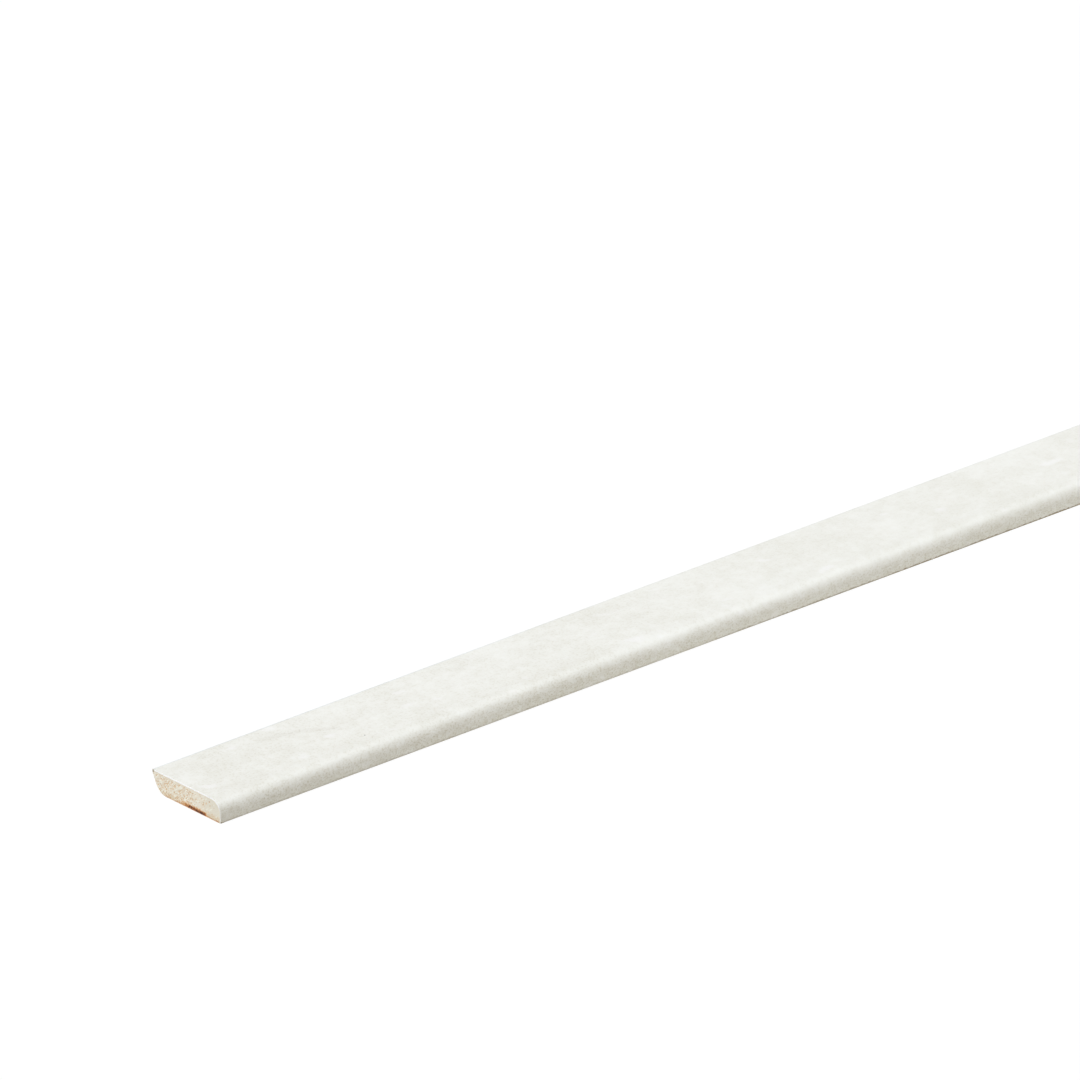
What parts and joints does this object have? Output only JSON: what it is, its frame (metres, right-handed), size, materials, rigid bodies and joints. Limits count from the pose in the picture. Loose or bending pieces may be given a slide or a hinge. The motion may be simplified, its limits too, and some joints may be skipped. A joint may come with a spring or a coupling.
{
  "type": "stick-on skirting board",
  "caption": "Slim fibreboard skirting strip wrapped in a pale stone-look paper foil, with one rounded long edge and an undercut one, glued flat over a floor's edge gap.",
  "frame": {"origin": "centre of the bounding box in plan, on the plane of the glue face", "axes": "+X along the length, +Y across the strip from the rounded edge to the undercut one, +Z out of the decor face"},
  "size_m": [2.4, 0.022, 0.005],
  "materials": {
    "core": "matte",
    "foil": "satin"
  },
  "bodies": {
    "root": {"core_strip": "core", "decor_foil": "foil"}
  },
  "joints": []
}
